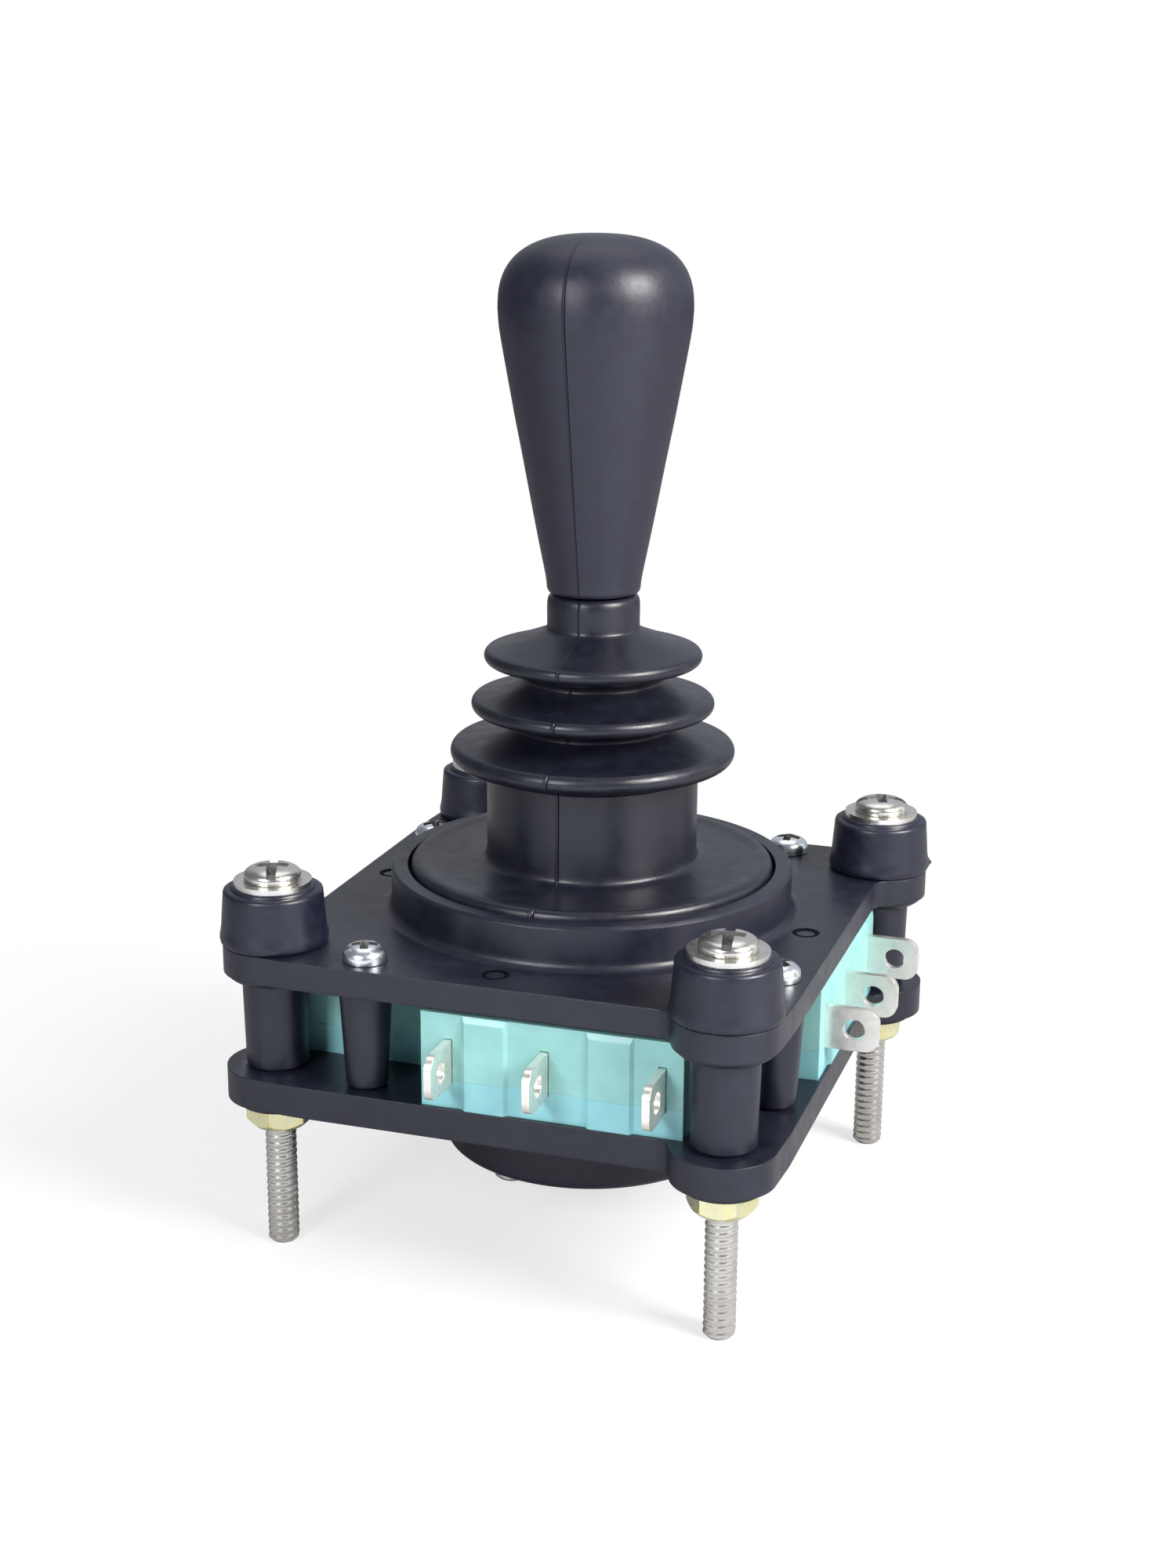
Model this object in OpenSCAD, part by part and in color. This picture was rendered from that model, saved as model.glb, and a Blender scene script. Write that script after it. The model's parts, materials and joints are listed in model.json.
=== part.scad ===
// Industrial joystick: a bat-handled lever on a gimbal, over four snap-action switches.
// Z is up and the corner screws end at z = 0. X and Y follow the edges of the plates,
// and the lever's rest axis is the Z axis. All sizes are in millimetres.

/* [Plates] */
// Half width of the square well between the four switches
well_half = 12.6; // [12.5:0.1:13.5]
// Thickness of the top plate
top_plate_t = 3; // [2.4:0.1:4]
// Thickness of the bottom plate
bottom_plate_t = 3.45; // [2.8:0.05:4.5]
// Free height left above the switches, between the plates
switch_headroom = 0.5; // [0.2:0.1:1]
// Radius of the round ears that carry the corner screws
ear_r = 5.45; // [5:0.05:6]
// Fillet where an ear leaves the plate's edge
ear_fillet = 2; // [1:0.25:3]
// Diameter of the corner posts under the top plate
post_d = 7.1; // [6.4:0.1:8]
// How far the ear's boss reaches below the top plate
boss_drop = 0.9; // [0.6:0.1:1]
// Height of the pads that the nuts seat on
nut_pad_h = 0.8; // [0.4:0.1:1.2]

/* [Corner fasteners] */
// Square spacing of the four corner screws
screw_spacing = 50.8; // [50:0.1:52]
// Turn of the screw square against the plate edges, in degrees
screw_turn = -5.6; // [-7:0.2:-4]
// Diameter of the corner screws
screw_d = 3.5; // [3:0.1:3.6]
// Bare screw below each nut
screw_tail = 13.9; // [8:0.1:20]
// Width across the flats of the nuts
nut_af = 6.35; // [6:0.05:7.5]
// Thickness of the nuts
nut_t = 2.65; // [2:0.05:3.2]
// Diameter of the washers under the screw heads
washer_d = 8.2; // [7.6:0.1:9]
// Thickness of those washers
washer_t = 0.6; // [0.4:0.1:1]
// Diameter of the screw heads
head_d = 6; // [5.6:0.1:6.8]
// Height of the screw heads
head_h = 1.6; // [1.4:0.1:2.2]
// Height of the rubber spacers, up to their shoulder
spacer_h = 5.95; // [4:0.05:8]
// Diameter of the spacers at the shoulder
spacer_d = 10.7; // [10:0.1:11.4]
// Height of the raised land that the washer seats on
spacer_land_h = 0.3; // [0.2:0.1:1]

/* [Inner posts] */
// Place of the front inner post along X
inner_post_x = -16.4; // [-17.5:0.1:-15.5]
// Distance of its centre from the front edge
inner_post_inset = 3.3; // [3.1:0.1:3.8]
// Diameter of an inner post where it leaves the top plate
inner_post_d = 5.6; // [5:0.1:6]
// Diameter of an inner post at its foot
inner_post_foot_d = 4.4; // [4:0.1:4.8]
// Diameter of the plate screws
plate_screw_d = 2.2; // [2:0.1:2.6]
// Diameter of the plate screws' heads
plate_screw_head_d = 4.6; // [4:0.1:5]

/* [Boot ring] */
// Outer diameter of the raised ring on the top plate
ring_d = 44.1; // [43:0.1:45]
// Height of the ring above the top plate
ring_h = 4.8; // [4.2:0.1:5.6]
// Width of the ring's rim
ring_wall = 1.8; // [1.4:0.1:2.2]
// Depth of the recess that takes the boot's flange
flange_recess = 1.9; // [1.6:0.1:2.4]

/* [Boot] */
// Diameter of the boot's flange
flange_d = 39.2; // [38:0.1:39.6]
// Thickness of the flange at its rim
flange_t = 2.2; // [1.8:0.1:2.6]
// Diameter of the boot's lower cylinder
boot_d = 23; // [22.4:0.1:23.6]
// Wall thickness of the boot
boot_wall = 1.3; // [1:0.1:1.5]
// Diameter of the lowest bellows fold
fold_low_d = 30.9; // [29:0.1:32]
// Diameter of the middle bellows fold
fold_mid_d = 26.3; // [25:0.1:27.5]
// Diameter of the highest bellows fold
fold_high_d = 23.5; // [22.5:0.1:24.5]
// Height of the lowest fold's rim above the flange seat
fold_low_rise = 14.7; // [14.2:0.1:15.2]
// Rise from one fold to the next
fold_pitch = 5.25; // [5:0.05:5.5]
// Diameter of the neck that grips the shaft
neck_d = 9.94; // [9.4:0.1:10.4]
// Length of the neck
neck_l = 3.6; // [3:0.1:4.2]

/* [Handle] */
// Largest diameter of the handle
handle_d = 20.3; // [18:0.1:22]
// Diameter of the handle at its foot
handle_foot_d = 9.94; // [9.6:0.1:10.6]
// Length of the handle
handle_l = 37.2; // [35:0.1:42]
// Height of the dome above the widest place
dome_h = 7.7; // [6:0.1:9]
// Fullness of the dome's shoulders, where 2 is an ellipse
dome_power = 2.6; // [2:0.1:3]
// Diameter of the brass insert
insert_d = 8; // [7.4:0.1:8.4]
// Length of the brass insert
insert_l = 12; // [8:0.5:14]

/* [Gimbal and lever] */
// Height of the pivot above the underside of the top plate
pivot_rise = 3.4; // [3.3:0.05:3.6]
// Diameter of the lever shaft
shaft_d = 6; // [5.6:0.1:6.2]
// Diameter of the hub on the shaft
hub_d = 10; // [9.4:0.1:10.2]
// Height of the hub
hub_h = 5.4; // [4.8:0.1:5.6]
// Outer diameter of the gimbal ring
gimbal_d = 18.8; // [18.4:0.1:19]
// Inner diameter of the gimbal ring
gimbal_bore_d = 12.8; // [12.6:0.1:13.2]
// Height of the gimbal ring
gimbal_h = 5; // [4.4:0.1:5.2]
// Diameter of the pivot pins
pin_d = 2.5; // [2.2:0.1:2.7]
// Diameter of the ball that works the switches
ball_d = 16.4; // [15.8:0.1:16.5]
// Depth of the ball's centre below the pivot
ball_drop = 8.8; // [8.6:0.05:8.9]
// Thickness of the slice of that ball
ball_t = 5.6; // [5:0.1:5.7]

/* [Spring housing] */
// Outer diameter of the spring housing
housing_d = 34; // [33.6:0.1:35]
// Depth of the housing below the bottom plate
housing_h = 10.1; // [9.6:0.05:10.6]
// Thickness of the housing's floor and wall
housing_wall = 1.6; // [1.3:0.1:1.9]
// Radius of the circle of its screws
housing_screw_r = 13.2; // [13.1:0.05:13.2]
// Wire diameter of the return spring
spring_wire_d = 1.1; // [0.9:0.1:1.2]
// Turns of the return spring
spring_turns = 3.5; // [3:0.5:4]
// Centre-line radius of its lowest turn
spring_base_r = 9.2; // [8.8:0.1:9.4]
// Centre-line radius of its highest turn
spring_top_r = 3.9; // [3.8:0.1:4]

/* [Switches] */
// Length of a switch case
switch_l = 27.8; // [27.4:0.1:28.2]
// Depth of a switch case, from terminals to plunger
switch_w = 15.9; // [15.6:0.1:16.2]
// Thickness of a switch case
switch_t = 10.3; // [10:0.1:10.6]
// Shift of each switch along its plate edge
switch_shift = 4.8; // [4.6:0.1:5]
// Height of the cover, up to its parting line
cover_t = 3.2; // [2.8:0.1:3.4]
// Wall of the switch case
case_wall = 1.2; // [1:0.1:1.4]
// Depth of the steps between the barriers
barrier_step = 0.35; // [0.3:0.05:0.8]
// Diameter of the case's locating holes
case_hole_d = 3.1; // [2.9:0.1:3.2]
// Width of a terminal blade
tab_w = 4.75; // [4.4:0.05:5]
// Thickness of a terminal blade
tab_t = 0.8; // [0.5:0.1:0.9]
// Length of blade outside the stepped face
tab_l = 5.75; // [5.4:0.05:6.4]
// Diameter of the hole in a blade
tab_hole_d = 2.3; // [1.8:0.1:2.5]
// Rounding of a blade's outer corners
tab_corner_r = 1.5; // [1:0.1:1.6]
// Diameter of the plunger
plunger_d = 3; // [2.6:0.1:3.2]
// Thickness of the operating lever's strip
leaf_t = 0.4; // [0.3:0.05:0.45]
// Width of the operating lever's strip
leaf_w = 4.4; // [4:0.1:4.8]
// Angle at which the operating lever stands off its case at rest
leaf_angle = 8.7; // [8.6:0.05:8.8]
// Distance from the operating lever's pivot to its bump
leaf_arm = 15.2; // [15.1:0.05:15.3]

/* [Hidden] */
$fn = 64;

black_plastic = "#2b2c33";
black_rubber = "#222329";
mint = "#7fcfc4";
mint_cover = "#84c4cf";
steel = "#b9b6ae";
zinc = "#c9ccd2";
yellow_zinc = "#d9cf9a";
brass = "#b99a52";

// Clearances
cut = 0.1;             // how far a cutting tool runs past a face
screw_fit = 0.1;       // radial, around the corner screws
run_fit = 0.05;        // radial, pins in the bores they turn in
press_fit = 0.01;      // radial, pins in the bores that hold them
seat_gap = 0.1;        // rubber and spring against what they seat on
case_fit = 0.05;       // blades in the slots of their case
stop_gap = 0.3;        // between the shaft at full tilt and the gate

// Levels, from the screw ends upwards
nut_z = screw_tail;
pad_z = nut_z + nut_t;
bottom_z = pad_z + nut_pad_h;
switch_z = bottom_z + bottom_plate_t;
top_z = switch_z + switch_t + switch_headroom;
deck_z = top_z + top_plate_t;
rim_z = deck_z + ring_h;
seat_z = rim_z - flange_recess;
land_z = deck_z + spacer_h + spacer_land_h;
washer_z = land_z;
head_z = washer_z + washer_t;
pivot_z = top_z + pivot_rise;
ball_z = pivot_z - ball_drop;
blade_z = switch_z + switch_t / 2;
floor_z = bottom_z - housing_h;
spring_z = floor_z + housing_wall + seat_gap;

edge = well_half + switch_w;
post_xy = screw_spacing / 2;
post_r = post_d / 2;
bore_r = screw_d / 2 + screw_fit;
inner_post = [inner_post_x, -edge + inner_post_inset];

// Gimbal housing in the top plate
pin_r = pin_d / 2;
ring_r = ring_d / 2;
collar_bore_r = gimbal_d / 2 + 1.2;
collar_r = collar_bore_r + 4.2;
seat_web = 1.6;
core_wall = 1.2;
gimbal_pin_grip = 3.4;
keeper_t = 1.3;
keeper_r = collar_r + 1.4;
keeper_gap = 0.05;
keeper_screw_d = 1.8;
keeper_screw_r = collar_bore_r + 2.6;

// Lever: its tilt each way from rest, in degrees, and what hangs below the pivot
tilt = 15;
shaft_r = shaft_d / 2;
tip_r = shaft_r - 0.5;
ball_r = ball_d / 2;
clip_t = 0.6;
clip_z = ball_z - ball_t / 2 - clip_t;
clip_groove_r = shaft_r - 0.6;
seat_t = 0.8;
gate_lip = 1.5;
spring_seat_z = bottom_z - 2.4;
spring_h = spring_seat_z - seat_gap - spring_z;
shaft_end_z = floor_z + housing_wall + 2.6;

// Boot and handle
low_z = seat_z + fold_low_rise;
mid_z = low_z + fold_pitch;
high_z = mid_z + fold_pitch;
neck_top_z = high_z + 3.1 + neck_l;
neck_bead = 0.25;
neck_bead_z = neck_top_z - 1.8;
handle_z = neck_top_z + 0.2;
insert_z = handle_z + 1;

// Screws
tail_chamfer = 0.3;
shank_relief = 0.02;
keeper_screw_head_d = 3.4;
keeper_screw_head_h = 1.1;
keeper_screw_bite = 2.6;
plate_screw_head_h = 1.9;
housing_screw_head_h = 1.3;
plate_screw_bite = 2.6;
housing_screw_d = 2;
housing_screw_bite = 2.6;
housing_screw_head_d = 4;

// Front switch: case, blades, plunger and operating lever
case_x0 = switch_shift - switch_l / 2;
case_x1 = switch_shift + switch_l / 2;
case_y0 = -edge;
case_y1 = -edge + switch_w;
split_z = switch_z + cover_t;
case_top = switch_z + switch_t;
case_pin_h = 2.4;
// Common, normally closed and normally open
tab_x = [case_x0 + 2.95, case_x0 + 13.3, case_x1 - 2.2];
barriers = [[case_x0 + 4.4, case_x0 + 9.4], [case_x0 + 17.6, case_x0 + 22.7]];
case_holes = [[case_x0 + 6.9, case_y0 + 3.7], [case_x1 - 4.6, case_y1 - 3.7]];
case_hole_wall = 1;
common_stem = 5.95;
contact_stem = 1.6;
tab_hole_in = 2.65;
barrier_bevel = 0.4;
barrier_top_bevel = 0.65;
blade_y = case_y0 + barrier_step + case_wall + common_stem + case_fit;
snap_t = 0.3;
leaf_pivot = [case_x1 - 3.5, case_y1 + 1.05];
leaf_eye_r = 0.75;
leaf_pin_r = 0.4;
ear_in_z = leaf_w / 2 + 0.3;
plunger_x = case_x1 - 9.1;
plunger_gap = 0.1;
plunger_play = 1.1;
plunger_y = leaf_pivot.y + (leaf_pivot.x - plunger_x) * tan(leaf_angle)
    - leaf_t / 2 / cos(leaf_angle) - plunger_gap;

module sides() { for (side = [0:3]) rotate(90 * side) children(); }
// The four corner screws, at the corners of their own square
module corners() { sides() rotate(screw_turn) translate([post_xy, -post_xy]) children(); }

// Centre of the front right ear in the plate's axes
ear = [post_xy * cos(screw_turn) + post_xy * sin(screw_turn),
    post_xy * sin(screw_turn) - post_xy * cos(screw_turn)];

// An arc's points, anticlockwise where b is over a
function arc(c, r, a, b, n = 8) =
    [for (i = [0:n]) c + r * [cos(a + (b - a) * i / n), sin(a + (b - a) * i / n)]];

// ---- Plates ----

// Plate outline: a rounded square whose ears stand past one edge and run into the next
module plate_outline() {
    // The fillet circle bites a little into both sides, so that no edge is only touched
    bite = 0.01;
    reach = ear_r + ear_fillet - bite;
    drop = ear_fillet - bite;
    fillet = [ear.x - sqrt(pow(reach, 2) - pow(ear.y + edge + drop, 2)), -edge - drop];
    corner = edge - ear_r;
    sides() {
        translate([-corner, -edge]) square([2 * corner, edge]);
        translate([corner, -corner]) circle(ear_r);
        translate(ear) circle(ear_r);
        polygon([ear, [corner, -corner], [corner + ear_r, -corner], [ear.x + ear_r, ear.y]]);
        difference() {
            polygon([fillet, fillet + [0, ear_fillet + 1], ear]);
            translate(fillet) circle(ear_fillet);
        }
    }
}

module bottom_plate() {
    gate_z = switch_z - gate_lip;
    gate_r = shaft_r / cos(tilt) + (pivot_z - gate_z) * tan(tilt) + stop_gap;
    relief_r = 11.8;
    color(black_plastic)
    difference() {
        union() {
            translate([0, 0, bottom_z]) linear_extrude(bottom_plate_t) plate_outline();
            corners() translate([0, 0, pad_z])
                rotate_extrude() polygon([[0, 0], [nut_af * 0.68, 0], [nut_af * 0.68 + 0.3, nut_pad_h],
                    [nut_af * 0.68 + 0.3, nut_pad_h + 1], [0, nut_pad_h + 1]]);
            sides() for (hole = case_holes) translate([hole.x, hole.y, switch_z - 1])
                cylinder(h = 1 + case_pin_h, d = case_hole_d - 2 * case_fit);
        }
        corners() translate([0, 0, pad_z - cut])
            cylinder(h = nut_pad_h + bottom_plate_t + 2 * cut, r = bore_r);
        // Square gate that stops the shaft, relieved below for the spring seat
        translate([0, 0, gate_z - cut]) linear_extrude(gate_lip + 2 * cut)
            rounded_square(gate_r, shaft_r);
        translate([0, 0, bottom_z - cut])
            cylinder(h = bottom_plate_t - gate_lip + cut, r = relief_r, $fn = 96);
        sides() translate([inner_post.x, inner_post.y, switch_z - plate_screw_bite])
            cylinder(h = plate_screw_bite + cut, r = plate_screw_d / 2 + press_fit);
        housing_screw_places() translate([0, 0, bottom_z - cut])
            cylinder(h = housing_screw_bite + cut, r = housing_screw_d / 2 + press_fit);
    }
}

// A square of half-width half with rounded corners
module rounded_square(half, r) {
    translate([-half, -half + r]) square([2 * half, 2 * (half - r)]);
    translate([-half + r, -half]) square([2 * (half - r), 2 * half]);
    for (x = [-1, 1], y = [-1, 1]) translate([x, y] * (half - r)) circle(r);
}

// Corner post with its boss: revolved, open for the screw
module post() {
    foot = 0.4;
    draft = 0.2;
    shoulder = 1.5;
    under_z = top_z - boss_drop;
    boss_r = ear_r - 0.05;
    rotate_extrude() polygon(concat(
        [[0, switch_z], [post_r - draft - foot, switch_z], [post_r - draft, switch_z + foot],
            [post_r, under_z]],
        arc([boss_r - shoulder, under_z + shoulder], shoulder, -90, 0, 6),
        [[boss_r, top_z + 1], [0, top_z + 1]]));
}

module inner_post_body() {
    foot = 0.4;
    rotate_extrude() polygon([[0, switch_z], [inner_post_foot_d / 2 - foot, switch_z],
        [inner_post_foot_d / 2, switch_z + foot], [inner_post_d / 2, top_z], [inner_post_d / 2, top_z + 1],
        [0, top_z + 1]]);
}

module top_plate() {
    root_r = 1;
    color(black_plastic)
    difference() {
        union() {
            translate([0, 0, top_z]) linear_extrude(top_plate_t) plate_outline();
            corners() post();
            sides() translate(inner_post) inner_post_body();
            // Ring, with a small fillet at its root
            translate([0, 0, deck_z]) rotate_extrude() polygon(concat(
                [[0, 0]], arc([ring_r + root_r, root_r], root_r, 270, 180, 5),
                [[ring_r, ring_h - 0.3], [ring_r - 0.3, ring_h], [0, ring_h]]));
        }
        // Recess for the boot's flange
        translate([0, 0, seat_z]) cylinder(h = flange_recess + cut, r = ring_r - ring_wall, $fn = 96);
        translate([0, 0, top_z - cut])
            cylinder(h = seat_z - top_z + 2 * cut, r = collar_bore_r);
        // Cored pockets under the ring, open below, with ribs between them
        difference() {
            translate([0, 0, top_z - cut]) rotate_extrude() translate([keeper_r + core_wall, 0])
                square([ring_r - ring_wall - keeper_r - core_wall, seat_z - seat_web - top_z + cut]);
            for (a = [0:30:150]) rotate(a + 15) translate([-ring_r, -core_wall / 2, top_z - 2 * cut])
                cube([2 * ring_r, core_wall, ring_h + top_plate_t]);
        }
        // Seat of the gimbal keeper
        translate([0, 0, top_z - cut]) cylinder(h = keeper_t + keeper_gap + cut, r = keeper_r + keeper_gap);
        // Slots that take the gimbal pins from below
        for (side = [-1, 1]) {
            translate([side * (collar_bore_r - 1), 0, pivot_z]) rotate([0, side * 90, 0])
                cylinder(h = gimbal_pin_grip + 1.1, r = pin_r + run_fit);
            translate([side > 0 ? collar_bore_r - 1 : -collar_bore_r - gimbal_pin_grip - 0.1,
                -pin_r - run_fit, top_z]) cube([gimbal_pin_grip + 1.1, pin_d + 2 * run_fit, pivot_rise]);
        }
        keeper_screw_places() translate([0, 0, top_z - cut])
            cylinder(h = keeper_t + keeper_screw_bite + 0.4, r = keeper_screw_d / 2 + press_fit);
        corners() translate([0, 0, switch_z - cut])
            cylinder(h = deck_z - switch_z + 2 * cut, r = bore_r);
        sides() translate([inner_post.x, inner_post.y, switch_z - cut])
            cylinder(h = deck_z - switch_z + 2 * cut, r = plate_screw_d / 2 + screw_fit);
        // Round moulding marks over the switches
        sides() translate([case_holes[0].x, case_holes[0].y, deck_z - 0.2]) difference() {
            cylinder(h = 0.2 + cut, d = 2.9);
            translate([0, 0, -cut]) cylinder(h = 0.1 + cut, d = 2.3);
        }
    }
}
module keeper_screw_places() {
    for (a = [0:90:270]) rotate(a + 45) translate([keeper_screw_r, 0]) children();
}

// Ring under the top plate whose two saddles close the pin slots
module gimbal_keeper() {
    saddle_w = pin_d;
    color(black_plastic) difference() {
        union() {
            translate([0, 0, top_z]) cylinder(h = keeper_t, r = keeper_r);
            for (side = [-1, 1])
                translate([side > 0 ? collar_bore_r : -collar_bore_r - gimbal_pin_grip,
                    -saddle_w / 2, top_z]) cube([gimbal_pin_grip, saddle_w, pivot_rise - 0.2]);
        }
        translate([0, 0, top_z - cut]) cylinder(h = pivot_rise + 1, r = collar_bore_r);
        rotate([0, 90, 0]) translate([-pivot_z, 0, -2 * keeper_r])
            cylinder(h = 4 * keeper_r, r = pin_r + run_fit);
        keeper_screw_places() translate([0, 0, top_z - cut])
            cylinder(h = keeper_t + 2 * cut, r = keeper_screw_d / 2 + screw_fit);
    }
}

module keeper_screws() {
    color(zinc) keeper_screw_places() {
        translate([0, 0, top_z]) cylinder(h = keeper_t + keeper_screw_bite, d = keeper_screw_d);
        translate([0, 0, top_z]) mirror([0, 0, 1]) pan_head(keeper_screw_head_d, keeper_screw_head_h);
    }
}

// ---- Corner fasteners ----

// Domed head standing on z = 0, with a cross recess
module pan_head(d, h) {
    rim = h * 0.45;
    rise = h - rim;
    difference() {
        rotate_extrude() polygon(concat([[0, 0], [d / 2, 0]],
            [for (i = [0:6]) let (a = 90 * i / 6) [d / 2 * cos(a), rim + rise * sin(a)]]));
        for (a = [0, 90]) rotate(a) translate([-d * 0.27, -d * 0.07, h * 0.4])
            cube([d * 0.54, d * 0.14, h]);
    }
}

module corner_screws() {
    r = screw_d / 2;
    color(steel) corners() {
        rotate_extrude() polygon([[0, 0], [r - tail_chamfer, 0], [r, tail_chamfer], [r, nut_z],
            [r - shank_relief, nut_z], [r - shank_relief, head_z + cut], [0, head_z + cut]]);
        translate([0, 0, head_z]) pan_head(head_d, head_h);
    }
}

module corner_washers() {
    color(steel) corners() translate([0, 0, washer_z]) difference() {
        cylinder(h = washer_t, d = washer_d);
        translate([0, 0, -cut]) cylinder(h = washer_t + 2 * cut, r = bore_r);
    }
}

module corner_nuts() {
    across = nut_af / cos(30);
    chamfer = (across - nut_af) / 2 + 0.35;
    color(yellow_zinc) corners() translate([0, 0, nut_z]) rotate(12) difference() {
        intersection() {
            cylinder(h = nut_t, d = across, $fn = 6);
            rotate_extrude() polygon([[0, 0], [across / 2 - chamfer, 0], [across / 2, chamfer],
                [across / 2, nut_t], [0, nut_t]]);
        }
        translate([0, 0, -cut]) cylinder(h = nut_t + 2 * cut, r = screw_d / 2 + press_fit);
    }
}

module rubber_spacers() {
    r = spacer_d / 2;
    lip = 0.45;
    land_r = washer_d / 2 + 0.25;
    color(black_rubber) corners() translate([0, 0, deck_z]) difference() {
        rotate_extrude() polygon([[0, 0], [r + lip, 0], [r + lip, 0.5], [r + 0.12, 1.1],
            [r, spacer_h - 0.5], [r - 0.15, spacer_h - 0.15], [r - 0.5, spacer_h], [land_r, spacer_h],
            [land_r - 0.1, spacer_h + spacer_land_h], [0, spacer_h + spacer_land_h]]);
        translate([0, 0, -cut]) cylinder(h = land_z - deck_z + 2 * cut, r = bore_r);
    }
}

module plate_screws() {
    color(zinc) sides() translate([inner_post.x, inner_post.y, 0]) {
        translate([0, 0, switch_z - plate_screw_bite + 0.1])
            cylinder(h = deck_z - switch_z + plate_screw_bite, d = plate_screw_d);
        translate([0, 0, deck_z]) pan_head(plate_screw_head_d, plate_screw_head_h);
    }
}

// ---- Spring housing and return spring ----

module housing_screw_places() {
    for (a = [0:90:270]) rotate(a - 22) translate([housing_screw_r, 0]) children();
}

module spring_housing() {
    r = housing_d / 2;
    screw_post_r = 2;
    spring_ring_r = spring_base_r - spring_wire_d / 2 - 0.65;
    color(black_plastic) difference() {
        union() {
            difference() {
                translate([0, 0, floor_z]) rotate_extrude() polygon(concat([[0, 0]],
                    arc([r - 1.6, 1], 1, -90, 0, 5), [[r, housing_h], [0, housing_h]]));
                translate([0, 0, floor_z + housing_wall])
                    cylinder(h = housing_h, r = r - housing_wall);
            }
            housing_screw_places() translate([0, 0, floor_z + 1])
                cylinder(h = housing_h - 1, r = screw_post_r);
            // Raised ring that keeps the spring's lowest turn in place
            translate([0, 0, floor_z + 1]) difference() {
                cylinder(h = housing_wall - 0.5, r = spring_ring_r);
                translate([0, 0, -1]) cylinder(h = housing_wall + 2, r = spring_ring_r - 1);
            }
        }
        housing_screw_places() translate([0, 0, floor_z - cut])
            cylinder(h = housing_h + 2 * cut, r = housing_screw_d / 2 + screw_fit);
    }
}

module housing_screws() {
    color(zinc) housing_screw_places() {
        translate([0, 0, floor_z - cut])
            cylinder(h = housing_h + housing_screw_bite - cut, d = housing_screw_d);
        translate([0, 0, floor_z]) mirror([0, 0, 1]) pan_head(housing_screw_head_d, housing_screw_head_h);
    }
}

// Conical coil: a tube swept along a helix by a polyhedron
module return_spring() {
    steps_per_turn = 20;
    steps = round(spring_turns * steps_per_turn);
    wire_sides = 8;
    wire_r = spring_wire_d / 2;
    rise = spring_h - spring_wire_d;
    function ease(u) = u < 0.2 ? 0 : u > 0.85 ? 1 : (u - 0.2) / 0.65;
    function coil_r(u) = spring_base_r + (spring_top_r - spring_base_r) * ease(u);
    function point(i) = let (u = i / steps, a = 360 * spring_turns * u)
        [for (k = [0:wire_sides - 1]) let (b = 360 * k / wire_sides, q = coil_r(u) + wire_r * cos(b))
            [q * cos(a), q * sin(a), spring_z + wire_r + rise * ease(u) + wire_r * sin(b)]];
    rings = [for (i = [0:steps]) point(i)];
    points = [for (ring = rings) each ring];
    walls = [for (i = [0:steps - 1], k = [0:wire_sides - 1])
        let (a = i * wire_sides + k, b = i * wire_sides + (k + 1) % wire_sides)
        [a, b, b + wire_sides, a + wire_sides]];
    first = [for (k = [wire_sides - 1:-1:0]) k];
    last = [for (k = [0:wire_sides - 1]) steps * wire_sides + k];
    color(steel) polyhedron(points, concat(walls, [first, last]), convexity = 10);
}

// ---- Lever ----

module lever_shaft() {
    color(steel) difference() {
        rotate_extrude() polygon([[0, shaft_end_z], [tip_r - 0.4, shaft_end_z], [tip_r, shaft_end_z + 0.4],
            [tip_r, spring_seat_z + seat_t], [shaft_r, spring_seat_z + seat_t],
            [shaft_r, clip_z], [clip_groove_r, clip_z],
            [clip_groove_r, clip_z + clip_t], [shaft_r, clip_z + clip_t],
            [shaft_r, pivot_z - hub_h / 2], [hub_d / 2, pivot_z - hub_h / 2],
            [hub_d / 2, pivot_z + hub_h / 2], [shaft_r, pivot_z + hub_h / 2],
            [shaft_r, neck_bead_z - 0.5], [shaft_r - neck_bead, neck_bead_z - 0.3],
            [shaft_r - neck_bead, neck_bead_z + 0.3], [shaft_r, neck_bead_z + 0.5],
            [shaft_r, insert_z + insert_l - 0.6], [shaft_r - 0.6, insert_z + insert_l],
            [0, insert_z + insert_l]]);
        translate([0, -hub_d, pivot_z]) rotate([-90, 0, 0]) cylinder(h = 2 * hub_d, r = pin_r + press_fit);
    }
}

module gimbal_ring() {
    pin_reach = gimbal_d;
    color(zinc) difference() {
        translate([0, 0, pivot_z - gimbal_h / 2]) rotate_extrude() polygon(let (a = gimbal_bore_d / 2,
            b = gimbal_d / 2, h = gimbal_h, c = 0.4) [[a, c], [a + c, 0], [b - c, 0], [b, c], [b, h - c],
            [b - c, h], [a + c, h], [a, h - c]]);
        translate([-pin_reach, 0, pivot_z]) rotate([0, 90, 0])
            cylinder(h = 2 * pin_reach, r = pin_r + press_fit);
        translate([0, -pin_reach, pivot_z]) rotate([-90, 0, 0])
            cylinder(h = 2 * pin_reach, r = pin_r + run_fit);
    }
}

module gimbal_pins() {
    inner = gimbal_bore_d / 2 + 0.1;
    color(steel) for (side = [0, 180]) rotate(side) translate([inner, 0, pivot_z]) rotate([0, 90, 0])
        cylinder(h = collar_bore_r + gimbal_pin_grip - 0.1 - inner, r = pin_r);
}

module cross_pin() {
    half = gimbal_d / 2 + 0.2;
    color(steel) translate([0, -half, pivot_z]) rotate([-90, 0, 0]) cylinder(h = 2 * half, r = pin_r);
}

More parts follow.
